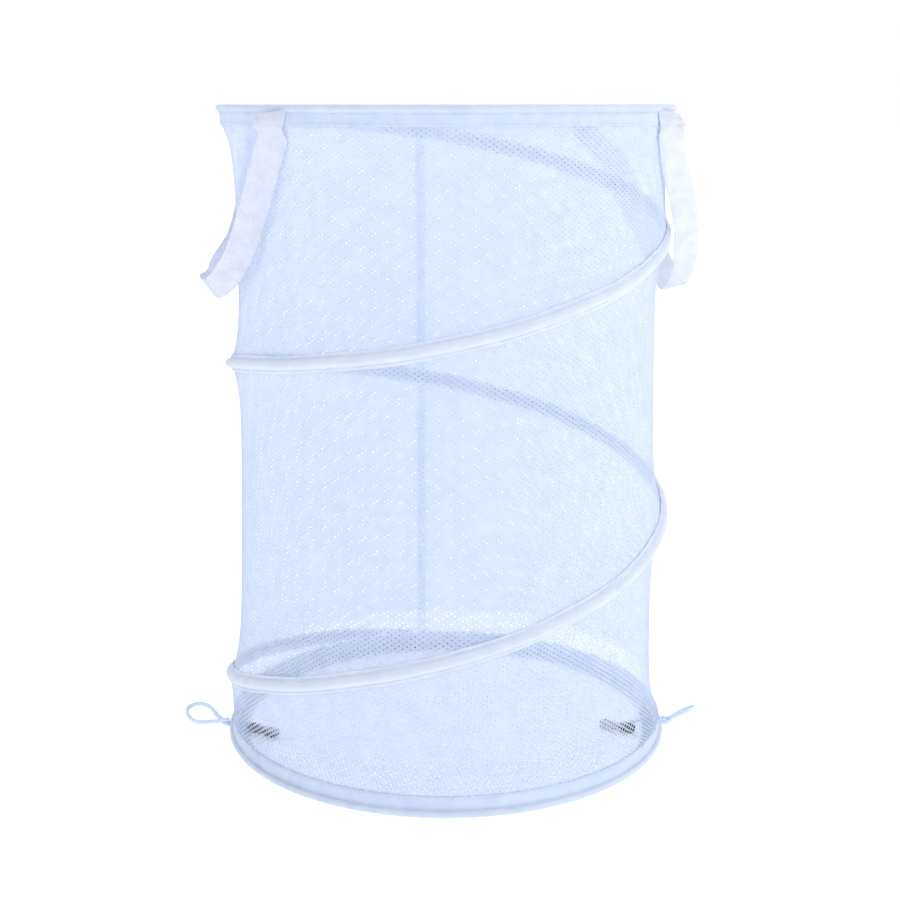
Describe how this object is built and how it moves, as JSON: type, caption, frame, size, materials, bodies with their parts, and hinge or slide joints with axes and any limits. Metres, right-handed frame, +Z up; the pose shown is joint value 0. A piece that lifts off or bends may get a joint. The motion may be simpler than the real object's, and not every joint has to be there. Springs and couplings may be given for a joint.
{
  "type": "pop up laundry hamper",
  "caption": "Tall round pop up laundry hamper: a mesh tube held open by a sprung wire spiral, with webbing handles and elastic loops and toggles that hold it flat.",
  "frame": {"origin": "on the floor at the middle of the round base", "axes": "+Z up along the hamper's axis; the two handles lie on the X axis, one at +X and one at -X; the picture was taken from the -Y side, 11.5 degrees towards -X"},
  "size_m": [0.4937, 0.4224, 0.6],
  "materials": {
    "mesh_fabric": "white knitted polyester mesh with small lozenge holes, matt",
    "binding_tape": "white woven polyester binding tape, matt, with edge stitching",
    "webbing": "white ribbed polypropylene webbing, slight sheen",
    "elastic_cord": "white braided elastic cord, matt",
    "spring_steel": "bare spring steel wire",
    "black_plastic": "black moulded plastic, satin"
  },
  "bodies": {
    "base": {"base_hoop_wire": "spring_steel", "base_hoop_ferrule": "spring_steel", "base_binding": "binding_tape", "floor_mesh": "mesh_fabric", "floor_seam_tape": "binding_tape", "mesh_wall": "mesh_fabric", "spiral_wire": "spring_steel", "spiral_casing": "binding_tape", "back_seam_tape": "binding_tape"},
    "rim": {"rim_hoop_wire": "spring_steel", "rim_hoop_ferrule": "spring_steel", "rim_binding": "binding_tape", "handle_end_left_front": "webbing", "handle_end_left_rear": "webbing", "handle_end_right_front": "webbing", "handle_end_right_rear": "webbing"},
    "left_handle": {"handle_left": "webbing"},
    "right_handle": {"handle_right": "webbing"},
    "left_loop": {"closure_loop_left": "elastic_cord"},
    "right_loop": {"closure_loop_right": "elastic_cord"},
    "left_toggle": {"toggle_left": "black_plastic", "toggle_cord_left": "elastic_cord"},
    "right_toggle": {"toggle_right": "black_plastic", "toggle_cord_right": "elastic_cord"}
  },
  "joints": [
    {"name": "collapse", "type": "slide", "parent": "base", "child": "rim", "axis": [0, 0, 1], "range_m": [-0.55, 0], "stiffness_N_per_m": 15, "springref_m": 0.3, "deforming": ["mesh_wall", "spiral_wire", "spiral_casing", "back_seam_tape", "handle_left", "handle_right"]},
    {"name": "left_handle_swing", "type": "hinge", "parent": "rim", "child": "left_handle", "pos_m": [-0.16522, 0, 0.582], "axis": [0, 1, 0], "range_deg": [0, 150]},
    {"name": "right_handle_swing", "type": "hinge", "parent": "rim", "child": "right_handle", "pos_m": [0.16522, 0, 0.582], "axis": [0, -1, 0], "range_deg": [0, 150]},
    {"name": "left_loop_lift", "type": "hinge", "parent": "base", "child": "left_loop", "pos_m": [-0.20969, 0.02761, 0.0095], "axis": [0.1305, 0.9914, 0], "range_deg": [0, 85]},
    {"name": "right_loop_lift", "type": "hinge", "parent": "base", "child": "right_loop", "pos_m": [0.20504, -0.05188, 0.0095], "axis": [-0.2453, -0.9694, 0], "range_deg": [0, 85]},
    {"name": "left_toggle_lift", "type": "hinge", "parent": "base", "child": "left_toggle", "pos_m": [-0.2032, 0.0176, 0.0105], "axis": [-0.0863, -0.9963, 0], "range_deg": [0, 80]},
    {"name": "right_toggle_lift", "type": "hinge", "parent": "base", "child": "right_toggle", "pos_m": [0.1974, -0.0511, 0.0105], "axis": [0.2506, 0.9681, 0], "range_deg": [0, 80]}
  ]
}
